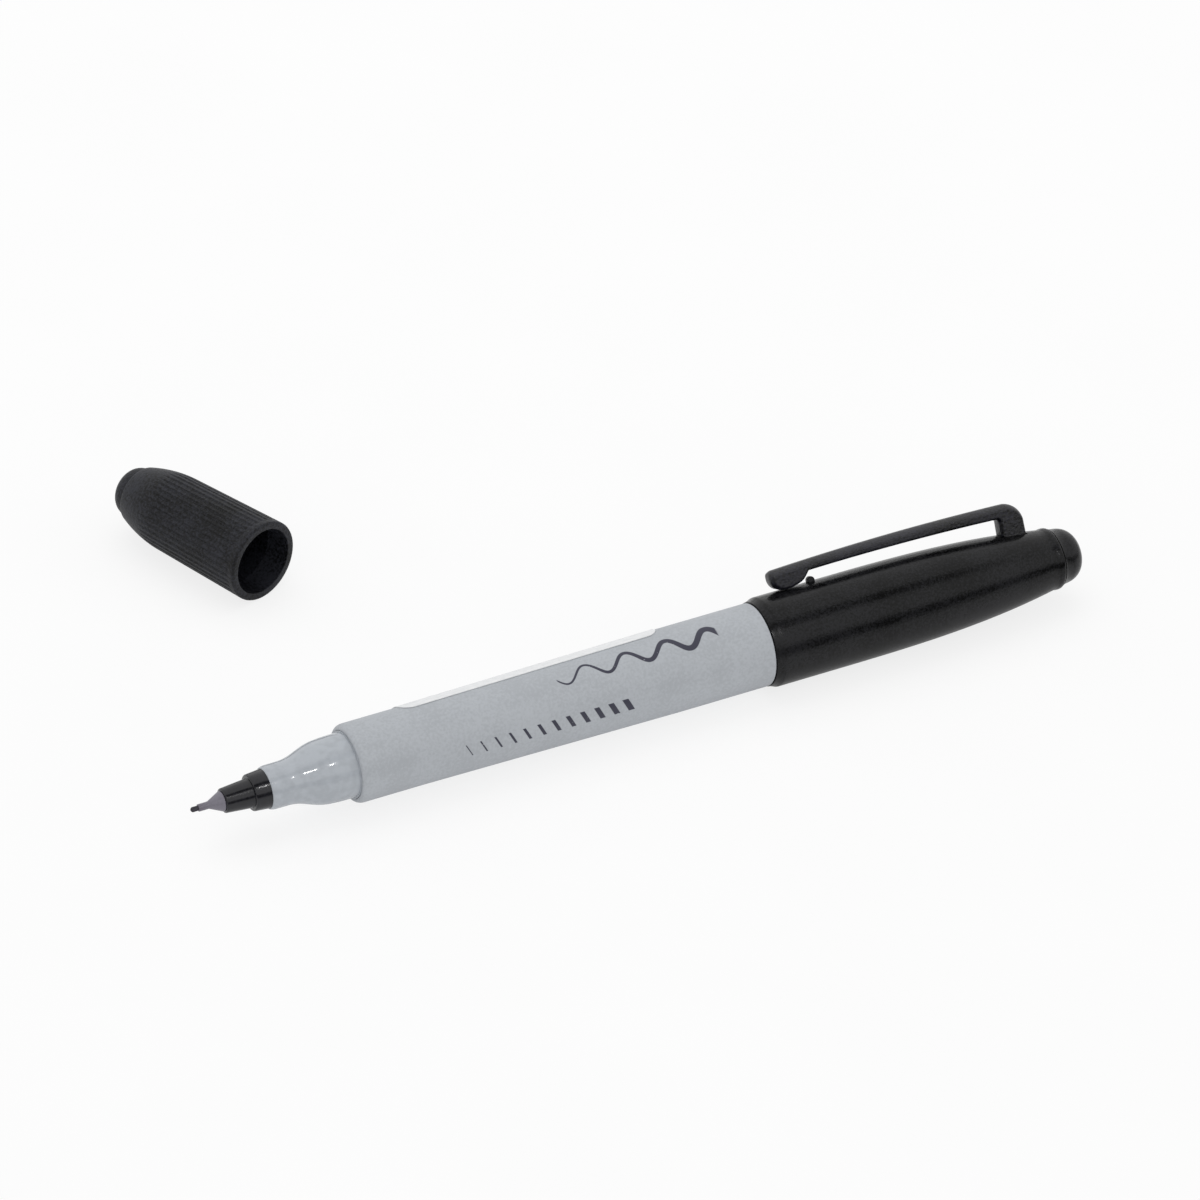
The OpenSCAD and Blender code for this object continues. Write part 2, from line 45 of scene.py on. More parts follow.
class Shade:
    """A socket of a finish: sums on it add Math nodes, and node adds any other kind of node."""

    def __init__(self, tree, socket=None):
        self.tree = tree
        self.socket = socket

    def node(self, kind, settings={}, sockets={}, out=0):
        """A new node: its settings are set first, then the values or links of its sockets."""
        made = self.tree.nodes.new("ShaderNode" + kind)
        for name, value in settings.items():
            setattr(made, name, value)
        for key, value in sockets.items():
            if isinstance(value, Shade):
                self.tree.links.new(value.socket, made.inputs[key])
            else:
                made.inputs[key].default_value = value
        return Shade(self.tree, made.outputs[out])

    def math(self, operation, *others):
        """This value, and any others after it, through one Math node."""
        return self.node("Math", {"operation": operation}, dict(enumerate((self, *others))))

    def __add__(self, other):
        return self.math("ADD", other)

    def __sub__(self, other):
        return self.math("SUBTRACT", other)

    def __rsub__(self, other):
        return self.node("Math", {"operation": "SUBTRACT"}, {0: other, 1: self})

    def __mul__(self, other):
        return self.math("MULTIPLY", other)

    def __truediv__(self, other):
        return self.math("DIVIDE", other)

    def __abs__(self):
        return self.math("ABSOLUTE")

    __radd__ = __add__
    __rmul__ = __mul__

    def axis(self, name):
        """The X, Y or Z of a vector."""
        return self.node("SeparateXYZ", {}, {0: self}, out=name)

    def step(self, low, high):
        """0 up to low, 1 from high on, smooth between. The two may be the other way round."""
        return self.node("MapRange", {"interpolation_type": "SMOOTHSTEP"}, {0: self, 1: low, 2: high})

    def blend(self, first, second):
        """The first colour where this is 0, and the second where it is 1."""
        return self.node("Mix", {"data_type": "RGBA"}, {0: self, 6: first, 7: second}, out=2)

    def stretched(self, x, y, z):
        return self.node("VectorMath", {"operation": "MULTIPLY"}, {0: self, 1: (x, y, z)})

    def noise(self, scale, detail):
        return self.node("TexNoise", {}, {"Vector": self, "Scale": scale, "Detail": detail})

    def bump(self, strength, distance):
        return self.node("Bump", {}, {"Strength": strength, "Distance": distance, "Height": self})


def tint(red, green, blue):
    """A screen colour of 0 to 255 as the linear values that a shader takes."""
    return tuple(((c / 255 + 0.055) / 1.055) ** 2.4 for c in (red, green, blue)) + (1.0,)


def finish(name, fixed={}):
    """A new material with these fixed sockets on its shader, and its coordinates in metres."""
    material = bpy.data.materials.new(name)
    material.use_nodes = True
    for key, value in fixed.items():
        material.node_tree.nodes["Principled BSDF"].inputs[key].default_value = value
    return material, Shade(material.node_tree).node("TexCoord", out="Object")


def feed(material, shades):
    """Links these shades to the sockets of the material's shader."""
    shader = material.node_tree.nodes["Principled BSDF"]
    for key, shade in shades.items():
        material.node_tree.links.new(shade.socket, shader.inputs[key])


core_relief = 0.0001
core_fibre, at = finish("core_fibre")
strands = at.stretched(60, 3000, 3000).noise(1.0, 3.0)
feed(core_fibre, {
    "Base Color": strands.step(0.35, 0.65).blend(tint(20, 20, 26), tint(66, 66, 78)),
    "Roughness": 0.7 + 0.2 * strands,
    "Normal": strands.bump(0.5, core_relief),
})
wrap_film, at = finish("wrap_film")
crinkle = at.stretched(200, 600, 600).noise(1.0, 3.0)
feed(wrap_film, {
    "Base Color": crinkle.step(0.3, 0.7).blend(tint(196, 198, 202), tint(226, 227, 229)),
    "Roughness": 0.16 + 0.2 * crinkle,
    "Normal": crinkle.bump(0.3, core_relief),
})
for name, material in (("ink_core", core_fibre), ("core_wrap", wrap_film)):
    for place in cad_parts[name].material_slots:
        place.material = material

# Barrel: a drafted tube of grey polypropylene, injection moulded, with a straight stretch at each end.
# It has a fine satin texture, and its print is dark blue-black: a pen stroke that grows from
# thin to thick along the top, and a scale of slanted lines along the front.
MM = 0.001
shoulder_x = -56.2
barrel_len = 63.2
front_r = 5.57
rear_r = 5.95
taper_start = 10
taper_end = 49.2
front_bore = 4.83
rear_bore = 5.21
rim_in = 0.6
rim_back = 1.2
shell_grey = tint(172, 176, 181)
grain_relief = 0.00003
on_marker = (Matrix.Translation((shoulder_x * MM, 0, 0)) @ Matrix.Rotation(math.pi / 2, 4, "Y")
             @ Matrix.Scale(MM, 4))


def softened(outline, steps=5, most=0.48):
    """The outline with a rounding at each point that has a third number, its size.
    A rounding takes at most the given share of the sides that it joins."""
    soft = []
    for i, point in enumerate(outline):
        here = Vector(point[:2])
        if len(point) == 2:
            soft.append(here)
            continue
        before = Vector(outline[i - 1][:2]) - here
        after = Vector(outline[(i + 1) % len(outline)][:2]) - here
        start = here + before.normalized() * min(point[2], most * before.length)
        end = here + after.normalized() * min(point[2], most * after.length)
        for k in range(steps + 1):
            t = k / steps
            soft.append((1 - t) ** 2 * start + 2 * t * (1 - t) * here + t * t * end)
    return soft


def spread(start, end, steps):
    """Evenly spaced numbers from start to end."""
    return [start + (end - start) * i / steps for i in range(steps + 1)]


def oval(x, y, rx, ry, a0, a1, steps=12):
    """Points on an ellipse between two angles in degrees."""
    turns = [math.radians(a) for a in spread(a0, a1, steps)]
    return [(x + rx * math.cos(a), y + ry * math.sin(a)) for a in turns]


def made(name, mesh, crease=32):
    """The finished mesh as a new object, smooth up to the crease angle."""
    bmesh.ops.recalc_face_normals(mesh, faces=mesh.faces)
    data = bpy.data.meshes.new(name)
    mesh.to_mesh(data)
    mesh.free()
    data.shade_smooth()
    data.set_sharp_from_angle(angle=math.radians(crease))
    piece = bpy.data.objects.new(name, data)
    bpy.context.scene.collection.objects.link(piece)
    return piece


def turned(name, outline, place, around=144, carve=lambda radius, height, angle: 0.0):
    """A round piece turned from an outline of radius and height. Carve changes the radius locally."""
    mesh = bmesh.new()
    rings = []
    for radius, height in outline:
        ring = []
        for k in range(around if radius > 1e-6 else 1):
            angle = 2 * math.pi * k / around
            r = radius + carve(radius, height, angle)
            point = Vector((r * math.cos(angle), r * math.sin(angle), height))
            ring.append(mesh.verts.new(place @ point))
        rings.append(ring)
    if len(rings[0]) > 1 and len(rings[-1]) > 1:
        rings.append(rings[0])
    for low, high in zip(rings, rings[1:]):
        for k in range(around):
            places = ((low, k), (low, k + 1), (high, k + 1), (high, k))
            corners = [ring[j % len(ring)] for ring, j in places]
            mesh.faces.new(list(dict.fromkeys(corners)))
    return made(name, mesh)


def flecked(colour, fleck, drift, texture):
    """The colour, darker and lighter by the share called fleck in spots of the drift and the texture."""
    spots = (0.4 * drift + 0.6 * texture).step(0.38, 0.62)
    return spots.blend(tuple((1 - fleck) * c for c in colour), tuple((1 + fleck) * c for c in colour))


def moulded(name, colour, gloss, grain, depth=None, fleck=0.06, fixed={}):
    """Moulded plastic: its tone drifts a little, and a fine grain breaks up its gloss.
    Where no depth is given for the grain, its section feeds a relief of its own."""
    material, at = finish(name, fixed)
    drift = at.noise(150.0, 4.0)
    texture = at.noise(grain, 2.0)
    body = flecked(colour, fleck, drift, texture)
    feed(material, {
        "Base Color": body,
        "Roughness": gloss + 0.16 * (drift - 0.5) + 0.1 * (texture - 0.5),
    })
    if depth:
        feed(material, {"Normal": texture.bump(depth, grain_relief)})
    return material, at, body


barrel_plastic, at, body = moulded("barrel_plastic", shell_grey, 0.5, 2600.0, 0.35)
print_ink = tint(50, 50, 66)
print_r = 5.8
soft_edge = (-0.03, 0.04)
along = at.axis("X") / MM - shoulder_x
down = (0 - at.axis("Y")).math("ARCTAN2", at.axis("Z")) * print_r

stroke_start = 31
stroke_len = 25
stroke_down = 2.1
stroke_half = 0.12
stroke_swell = 0.36
wave_len = 6.25
wave_h = 1.1
reach = (along - stroke_start) / stroke_len
phase = (along - stroke_start) * (2 * math.pi / wave_len)
lean = wave_h * phase.math("COSINE")
apart = abs(down - stroke_down - wave_h * phase.math("SINE")) / (1 + lean * lean).math("SQRT")
stroke = (stroke_half + stroke_swell * reach - apart).step(*soft_edge)
stroke = stroke * reach.step(0, 0.01) * reach.step(1, 0.99)

rule_start = 15
rule_pitch = 2.2
rule_count = 12
rule_down = 8.4
rule_tall = 0.95
rule_slant = 0.5
rule_half = 0.09
rule_swell = 0.035
slant = (along - rule_start - rule_slant * (down - rule_down)) / rule_pitch
rank = slant.math("FLOOR")
rule = (rule_half + rule_swell * rank - rule_pitch * abs(slant - rank - 0.5)).step(*soft_edge)
rule = rule * abs(down - rule_down).step(rule_tall, rule_tall - 0.07)
rule = rule * rank.step(-0.6, -0.4) * rank.step(rule_count - 0.4, rule_count - 0.6)

rubbed = at.noise(1500.0, 3.0).step(0.66, 0.74)
printed = stroke.math("MAXIMUM", rule) * (1 - 0.7 * rubbed)
feed(barrel_plastic, {"Base Color": printed.blend(body, print_ink)})

barrel = turned("barrel_tube", softened([
    (front_bore, 0.2, 0.05), *oval(front_r - rim_in, rim_back, rim_in, 1, -90, 0),
    (front_r, taper_start), (rear_r, taper_end), (rear_r, barrel_len, 0.2),
    (rear_bore, barrel_len), (rear_bore, taper_end), (front_bore, taper_start)]), on_marker, 192)
barrel.data.materials.append(barrel_plastic)
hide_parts("barrel")
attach(barrel, "marker")

# Ultra fine nose: polished grey polypropylene, pressed into the front of the barrel up to its shoulder.
# Its seat takes the small cap, and a cone leads from it to the rounded collar around the tip holder.
# Sink in the moulding has left it a little wavy, so its gloss breaks up into separate glints.
nose_len = 12.1
nose_bore = 2.8
nose_room = 4.06
nose_floor = -2.6
collar_round = 0.9
spigot_r = 4.8
spigot_end = 9
spigot_lead = 0.3
sink_relief = 0.00006
nose_plastic, at = moulded("nose_plastic", tint(171, 176, 182), 0.09, 900.0)[:2]
sink = at.stretched(260, 200, 200).noise(1.0, 1.0)
feed(nose_plastic, {"Normal": sink.bump(1.0, sink_relief)})
nose = turned("ultra_fine_nose", softened([
    *oval(nose_bore, collar_round - nose_len, 0.29, collar_round, -90, 0),
    (3.1, -8.3, 1.2), (4.37, -4.75, 1.2), (4.57, -2.6, 0.9), (4.61, 0.1),
    (spigot_r, 0.1), (spigot_r, spigot_end - spigot_lead), (spigot_r - spigot_lead, spigot_end),
    (nose_room, spigot_end), (nose_room, nose_floor), (nose_bore, nose_floor)]), on_marker)
nose.data.materials.append(nose_plastic)
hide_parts("ultra_fine_section")
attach(nose, "marker")

# Tip holder: a stepped plug of black acetal, pushed into the mouth of the nose.
# It is bored for the ferrule in front, and for the rod of the nib behind.
holder_r = 2.77
holder_back = -2.9
holder_step = -14.4
holder_front = -18.4
holder_lead = 0.3
rod_bore = 0.73
shank_bore = 1.21
shank_stop = -15.4
holder_plastic = moulded(
    "holder_plastic", tint(15, 15, 21), 0.18, 3000.0, 0.3, 0.5, {"Specular IOR Level": 0.5})[0]
holder = turned("tip_holder", softened([
    (rod_bore, holder_back), (holder_r - holder_lead, holder_back), (holder_r, holder_back - holder_lead),
    (holder_r, -nose_len), (2.57, holder_step, 0.25), (2.07, holder_step, 0.1), (1.72, holder_front, 0.2),
    (shank_bore, holder_front), (shank_bore, shank_stop), (rod_bore, shank_stop)]), on_marker, 112)
holder.data.materials.append(holder_plastic)
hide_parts("ultra_fine_holder")
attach(holder, "marker")

# Ferrule: a grey cone that ends in a thin tube, moulded in one, with its shank in the holder.
# Ink that creeps out along the needle has stained it.
tube_r = 0.515
tube_bore = 0.36
tube_end = -22
shank_r = 1.18
shank_end = shank_stop - 0.1
cone_back = holder_front - 0.03
ferrule_plastic, at, body = moulded("ferrule_plastic", tint(115, 112, 122), 0.36, 2600.0, 0.2)
tube_x = at.axis("X") / MM - shoulder_x
stain = (tube_x + 1.4 * at.noise(700.0, 3.0)).step(-19.2, -21.4)
feed(ferrule_plastic, {"Base Color": (0.6 * stain).blend(body, tint(98, 92, 103))})
ferrule = turned("needle_ferrule", softened([
    (tube_bore, tube_end), (tube_r, tube_end, 0.08), (tube_r, -20.5, 0.15), (1.45, -18.52, 0.08),
    (1.39, cone_back), (shank_r, cone_back), (shank_r, shank_end), (rod_bore, shank_end),
    (rod_bore, holder_front), (tube_bore, holder_front - 0.4)]), on_marker, 80)
ferrule.data.materials.append(ferrule_plastic)
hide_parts("ultra_fine_ferrule")
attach(ferrule, "marker")

# Needle nib: a thin fibre point on a rod that runs back through the holder into the ink core.
# It is wet with black ink, so it is dark, with the fibres showing along it.
needle_back = 15.1
rod_r = 0.7
needle_r = 0.35
needle_tip = -22.73
tip_r = 0.37


def dome(r, z, length, power, steps=20):
    """A rounded end, from its rim to its top: power 2 is an ellipse, and more is flatter."""
    rise = 2 / power
    turns = [math.pi / 2 * i / steps for i in range(steps)]
    rim = [(r * math.cos(a) ** rise, z + length * math.sin(a) ** rise) for a in turns]
    return rim + [(0, z + length)]


nib_fibre, at = finish("nib_fibre", {"Specular IOR Level": 0.4})
strands = at.stretched(300, 9000, 9000).noise(1.0, 3.0)
feed(nib_fibre, {
    "Base Color": strands.step(0.3, 0.7).blend(tint(26, 25, 31), tint(64, 60, 70)),
    "Roughness": 0.45 + 0.3 * strands,
    "Normal": strands.bump(0.5, grain_relief),
})
needle = turned("needle_nib", [
    (0, needle_back), (rod_r, needle_back), (rod_r, -18.37), (needle_r, -18.72), (needle_r, tube_end),
    *dome(tip_r, needle_tip, -tip_r, 2)], on_marker, 64)
needle.data.materials.append(nib_fibre)
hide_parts("ultra_fine_nib")
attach(needle, "marker")

# Fine nose: the same polished grey moulding for the other end, under the large cap.
# It is pressed into the rear of the barrel and holds the bullet nib in its collar.
fine_back = barrel_len - 9
fine_shoulder = barrel_len + 0.1
fine_seat_end = barrel_len + 5
fine_collar = barrel_len + 10
fine_front = barrel_len + 15
fine_spigot_r = 5.18
fine_seat_r = 4.98
fine_collar_r = 3.2
fine_room = 4.44
bullet_bore = 1.63


def ogee(r0, z0, r1, z1, steps=32):
    """An S-shaped run between two straight stretches."""
    return [(r0 + (r1 - r0) * t * t * (3 - 2 * t), z0 + (z1 - z0) * t) for t in spread(0, 1, steps)]


fine_nose = turned("fine_nose", softened([
    (fine_room, fine_back), (fine_spigot_r - spigot_lead, fine_back),
    (fine_spigot_r, fine_back + spigot_lead), (fine_spigot_r, fine_shoulder), (fine_seat_r, fine_shoulder),
    *ogee(fine_seat_r, fine_seat_end, fine_collar_r, fine_collar), (fine_collar_r, fine_front, 0.3),
    (bullet_bore, fine_front, 0.08), (bullet_bore, fine_seat_end), (fine_room, fine_seat_end)]), on_marker)
fine_nose.data.materials.append(nose_plastic)
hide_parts("fine_section")
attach(fine_nose, "marker")

# Bullet nib: a rod of pressed fibre with a rounded point, wet with the same ink.
# It is pushed through the fine nose into the ink core.
bullet_r = 1.6
bullet_back = 48.1
bullet = turned("bullet_nib", [
    (0, bullet_back), (bullet_r, bullet_back),
    *dome(bullet_r, fine_front + 1.6, 3.4, 1.7, 28)], on_marker, 96)
bullet.data.materials.append(nib_fibre)
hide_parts("fine_nib")
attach(bullet, "marker")

# Label: a strip of coated white paper with rounded corners, stuck along the back of the barrel.
# It is blank but for faint ruled lines, and its cut edge shows a little.
label_start = 9.2
label_len = 39.5
label_w = 10.0
label_corner = 2.0
label_lean = math.radians(9)
label_faces = (0.03, 0.13)
label_rows = 80
label_columns = 24
ruling_pitch = 2.5


def label_point(along, across, lift):
    """A point that far along the barrel and across the label, lifted off the barrel."""
    tapered = min(max((along - taper_start) / (taper_end - taper_start), 0), 1)
    radius = front_r + (rear_r - front_r) * tapered + lift
    angle = label_lean + across / front_r
    return Vector(((along + shoulder_x) * MM, radius * math.sin(angle) * MM, radius * math.cos(angle) * MM))


mesh = bmesh.new()
sheets = []
for lift in label_faces:
    sheet = []
    for i in range(label_rows + 1):
        run = label_len * (0.5 - 0.5 * math.cos(math.pi * i / label_rows))
        short = max(label_corner - run, label_corner - (label_len - run), 0)
        inset = label_corner - math.sqrt(max(label_corner ** 2 - short ** 2, 0))
        sheet.append([mesh.verts.new(label_point(
            label_start + run, inset + (label_w - 2 * inset) * j / label_columns, lift))
            for j in range(label_columns + 1)])
    sheets.append(sheet)
for sheet in sheets:
    for i in range(label_rows):
        for j in range(label_columns):
            mesh.faces.new((sheet[i][j], sheet[i][j + 1], sheet[i + 1][j + 1], sheet[i + 1][j]))
border = [(i, 0) for i in range(label_rows)]
border += [(label_rows, j) for j in range(label_columns)]
border += [(label_rows - i, label_columns) for i in range(label_rows)]
border += [(0, label_columns - j) for j in range(label_columns)]
for (i, j), (k, m) in zip(border, border[1:] + border[:1]):
    mesh.faces.new((sheets[0][i][j], sheets[0][k][m], sheets[1][k][m], sheets[1][i][j]))
label = made("barrel_label", mesh)
label_paper, at = finish("label_paper", {"Specular IOR Level": 0.4})
pulp = at.stretched(900, 2600, 2600).noise(1.0, 4.0)
paper = pulp.step(0.3, 0.7).blend(tint(226, 228, 229), tint(236, 237, 238))
turn = at.axis("Y").math("ARCTAN2", at.axis("Z"))
row = (turn - label_lean) * front_r / ruling_pitch
ruling = (0.06 - abs(row - row.math("ROUND"))).step(0, 0.02)
ruling = ruling * turn.step(0.5, 0.52) * turn.step(1.6, 1.58)
feed(label_paper, {
    "Base Color": (0.35 * ruling).blend(paper, tint(120, 124, 130)),
    "Roughness": 0.42 + 0.16 * pulp,
    "Normal": pulp.bump(0.2, grain_relief),
})
label.data.materials.append(label_paper)
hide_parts("barrel_sticker")
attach(label, "marker")

# Large cap: a long shell of glossy black polypropylene, with a tapered lip and a low ring at its ends.
# It slides over the fine nose, and a slot near its closed end holds the root of the clip.
large_mouth = 63.3
large_r = 6.41
large_len = 46.9
large_straight = 10
large_end_r = 4.33
large_wall = 1.13
large_bore = large_r - large_wall
large_room_end = 45.6
bore_lead = 0.3
stud_hole = 2.43
ring_start = 46
ring_r = large_end_r + 0.14
clip_lean = math.radians(26)
clip_root = 39.5
clip_end = 43.2
clip_w = 2.6
slot_clear = 0.12
slot_h = 6.4
on_large_cap = on_marker @ Matrix.Translation((0, 0, large_mouth))
on_clip_plane = (Matrix.Translation(((large_mouth + shoulder_x) * MM, 0, 0))
                 @ Matrix.Rotation(-clip_lean, 4, "X") @ Matrix.Rotation(math.pi / 2, 4, "X")
                 @ Matrix.Scale(MM, 4))


def large_outer(z):
    """The outer radius of the shell at that height from its mouth."""
    rounding = max(z - large_straight, 0) / (ring_start - large_straight)
    return large_r - (large_r - large_end_r) * rounding ** 3


cap_plastic, at = finish("cap_plastic", {"Specular IOR Level": 0.24})
drift = at.noise(150.0, 4.0)
texture = at.noise(3200.0, 2.0)
lip = (at.axis("X") / MM - shoulder_x - large_mouth).step(1.7, 1.3)
feed(cap_plastic, {
    "Base Color": flecked(tint(16, 16, 18), 1.0, drift, texture),
    "Roughness": 0.22 + 0.04 * lip + 0.12 * (drift - 0.5),
    "Normal": ((1 - lip) * texture).bump(0.6, grain_relief),
})
large_cap = turned("large_cap_shell", softened([
    (large_bore + bore_lead, 0, 0.1), (6.04, 0, 0.08), (6.06, 0.35), (large_r, 1.23, 0.12),
    (large_r, large_straight),
    *[(large_outer(z), z) for z in spread(large_straight + 1, ring_start - 0.3, 44)],
    (ring_r, ring_start + 0.2, 0.25), (ring_r - 0.04, large_len - 0.2, 0.2), (4.1, large_len),
    (stud_hole, large_len), (stud_hole, large_room_end),
    *[(large_outer(z) - large_wall, z) for z in spread(large_room_end, large_straight, 24)],
    (large_bore, bore_lead)]), on_large_cap, 192)
tongue = large_outer(clip_end) - 0.75
slot_middle = ((clip_root + clip_end) / 2, tongue - slot_clear + slot_h / 2, 0)
slot_size = (clip_end - clip_root + 2 * slot_clear, slot_h, clip_w + 2 * slot_clear, 1)
mesh = bmesh.new()
bmesh.ops.create_cube(
    mesh, size=1.0, matrix=on_clip_plane @ Matrix.Translation(slot_middle) @ Matrix.Diagonal(slot_size))
slot_cutter = made("slot_cutter", mesh)
cut = large_cap.modifiers.new("clip_slot", "BOOLEAN")
cut.object = slot_cutter
cut.solver = "EXACT"
bpy.context.view_layer.update()
cut_shape = large_cap.evaluated_get(bpy.context.evaluated_depsgraph_get())
slotted = bpy.data.meshes.new_from_object(cut_shape)
large_cap.modifiers.clear()
large_cap.data = slotted
bpy.data.objects.remove(slot_cutter)
slotted.set_sharp_from_angle(angle=math.radians(32))
slotted.materials.clear()
slotted.materials.append(cap_plastic)
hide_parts("large_cap")
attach(large_cap, "clip_cap")

# Cloth bead: a short round peg that lies across the cap under the clip's pad.
# It is moulded in one with the shell, and pinches a pocket's cloth against the clip.
bead_r = 0.575
bead_half = 0.45
bead_round = 0.2
on_bead = on_clip_plane @ Matrix.Translation((9.8, large_r + 0.2, 0))
bead = turned("cloth_bead", softened([
    (0, -bead_half), (bead_r, -bead_half, bead_round),
    (bead_r, bead_half, bead_round), (0, bead_half)]), on_bead, 48)
bead.data.materials.append(cap_plastic)
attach(bead, "clip_cap")

# Large cap liner: a black sealing cup inside the shell, whose stud ends in the domed button.
# The button closes the end of the cap, and the step in front of it shows all round.
cup_r = 4
cup_bore = 3.3
cup_mouth = 11.9
cup_straight_end = 29.9
cup_lead = 0.12
stud_r = 2.4
button_back = large_len + 0.03
large_liner = turned("large_cap_liner_cup", softened([
    (0, 40.5), (stud_r, 40.5), (cup_bore, cup_straight_end), (cup_bore, cup_mouth + cup_lead),
    (cup_bore + cup_lead, cup_mouth), (cup_r, cup_mouth, 0.1), (cup_r, cup_straight_end), (3.1, 45.5),
    (stud_r, 45.5), (stud_r, button_back), (4.25, button_back), (4.04, 47.3),
    *dome(cup_r, button_back, 3.85, 2.7, 28)[4:]]), on_large_cap)
large_liner.data.materials.append(cap_plastic)
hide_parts("large_cap_liner")
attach(large_liner, "clip_cap")

# Clip: a bowed spring arm of satin black plastic with a crowned top, and a thick rounded pad at its free end.
# It is a separate moulding: the tongue of its root is pushed into the slot of the cap.
clip_start = 3.5
clip_apex = 22
clip_top_r = large_r + 3.4
clip_thin = 1.35
clip_swell = 0.5
bow_r = 450
bend_r = 2.6
bend_start = clip_end - bend_r
root_fillet = 0.6
fillet_z = clip_root - root_fillet
pad_low = large_r + 0.12
pad_contact = 5.25
pad_flat_end = 6.45
pad_back = 9.45
nose_turn = 0.9
edge_round = 0.3
crown_in = 0.4
crown_low = 0.8
edge_power = 1.5
side_border = 0.12
relief_scale = 2600.0
satin_relief = 0.00006


def clip_top(z):
    """The height of the arm's top above the cap's axis, that far from the cap's mouth."""
    return clip_top_r - (z - clip_apex) ** 2 / (2 * bow_r)


def clip_under(z):
    """The height of the arm's underside: the arm thickens towards its root."""
    return clip_top(z) - clip_thin - clip_swell * (z - clip_start) / (clip_end - clip_start)


nose_end = clip_start + nose_turn
chin_h = clip_top(nose_end) - nose_turn - 0.2 - pad_low
outline = softened(
    oval(nose_end, clip_top(nose_end) - nose_turn, nose_turn, nose_turn, 180, 90)
    + [(z, clip_top(z)) for z in spread(5.3, bend_start, 40)]
    + oval(bend_start, clip_top(bend_start) - bend_r, bend_r, bend_r, 87.6, 0, 14)
    + [(clip_end, tongue), (clip_root, tongue)]
    + oval(fillet_z, clip_under(fillet_z) - root_fillet, root_fillet, root_fillet, 0, 90)
    + [(z, clip_under(z)) for z in spread(fillet_z - root_fillet, pad_back, 32)]
    + [(pad_flat_end + 1.9, pad_low + 0.43, 1.2), (pad_flat_end, pad_low, 0.3)]
    + oval(pad_contact, pad_low + chin_h, pad_contact - clip_start, chin_h, 270, 180))
mesh = bmesh.new()
rings = []
for side in (-1, 1):
    for turn, border in ([(90, side_border)] + [(turn, 0) for turn in spread(90, 0, 8)])[::-side]:
        drawn_in = 1 - abs(math.cos(math.radians(turn))) ** edge_power
        fallen = 1 - math.sin(math.radians(turn)) ** edge_power
        ring = []
        for k, point in enumerate(outline):
            run = (outline[(k + 1) % len(outline)] - outline[k - 1]).normalized()
            crown = max(run.x, 0.5 * run.y, 0)
            inset = border + (edge_round + crown_in * crown) * drawn_in
            depth = clip_w / 2 - (edge_round + crown_low * crown) * fallen
            corner = Vector((point.x + run.y * inset, point.y - run.x * inset, side * depth))
            ring.append(mesh.verts.new(on_clip_plane @ corner))
        rings.append(ring)
for low, high in zip(rings, rings[1:]):
    for k in range(len(outline)):
        mesh.faces.new((low[k - 1], low[k], high[k], high[k - 1]))
mesh.faces.new(rings[0])
mesh.faces.new(rings[-1])
clip = made("pocket_clip", mesh)
clip_plastic, at = moulded(
    "clip_plastic", tint(18, 18, 25), 0.3, 3000.0, fleck=1.0, fixed={"Specular IOR Level": 0.48})[:2]
feed(clip_plastic, {"Normal": at.noise(relief_scale, 2.0).bump(1.0, satin_relief)})
clip.data.materials.append(clip_plastic)
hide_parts("clip")
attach(clip, "pocket_clip")

# Small cap: a drafted shell of matt black polypropylene with fine ribs for grip, lying on its side.
# The ribs run out where the shell rounds in, and a small snap ridge in its bore holds it on the seat.
small_r = 6.03
small_len = 24.7
small_body = 17.2
small_draft = math.tan(math.radians(1.2))
small_fall = small_r - small_len * small_draft - 4.2
small_wall = 1.13
small_bore = 4.9
small_room_end = 23.4
snap_z = 4
snap_half = 0.4
snap_h = 0.1
rib_count = 40
rib_start = 0.8
groove_depth = 0.18
groove_half = 0.247
small_place = Vector((-44.4, 50.5, small_r - large_r))
small_heading = math.radians(109)
on_small_cap = (Matrix.Translation(small_place * MM) @ Matrix.Rotation(small_heading, 4, "Z")
                @ Matrix.Rotation(math.pi / 2, 4, "Y") @ Matrix.Scale(MM, 4))


def small_rounding(z):
    """How far the shell has rounded in at that height from its mouth."""
    return small_fall * (max(z - small_body, 0) / (small_len - small_body)) ** 2


def small_outer(z):
    """The outer radius of the shell, on top of its ribs."""
    return small_r - z * small_draft - small_rounding(z)


def ribs(radius, height, angle):
    """The depth of the grooves on the outside, none in the bore. They fade in behind the mouth."""
    if radius < small_outer(height) - 0.2:
        return 0.0
    fade = min(max((height - rib_start) / 0.5, 0), 1)
    pitch = 2 * math.pi / rib_count
    off = (angle / pitch - round(angle / pitch)) * pitch * radius / groove_half
    if abs(off) >= 1:
        return 0.0
    return -max(groove_depth * fade * (1 - off * off) - small_rounding(height), 0)


small_cap = turned("ribbed_cap_shell", softened([
    (small_r, 0, 0.4), *[(small_outer(z), z) for z in spread(0.7, 24.5, 80)],
    (4.16, small_len, 0.12), (stud_hole, small_len), (stud_hole, small_room_end),
    *[(small_outer(z) - small_wall, z) for z in spread(small_room_end, 9.1, 20)], (small_bore, 8.8),
    (small_bore, snap_z + snap_half), (small_bore - snap_h, snap_z, 0.15), (small_bore, snap_z - snap_half),
    *oval(small_bore + 0.08, 0.15, 0.08, 0.15, 180, 270)]), on_small_cap, 400, ribs)
ribbed_plastic, at = moulded(
    "ribbed_plastic", tint(25, 26, 31), 0.48, 3000.0, fleck=1.0, fixed={"Specular IOR Level": 0.25})[:2]
feed(ribbed_plastic, {"Normal": at.noise(relief_scale, 2.0).bump(1.0, satin_relief)})
small_cap.data.materials.append(ribbed_plastic)
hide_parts("small_cap")
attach(small_cap, "ribbed_cap")

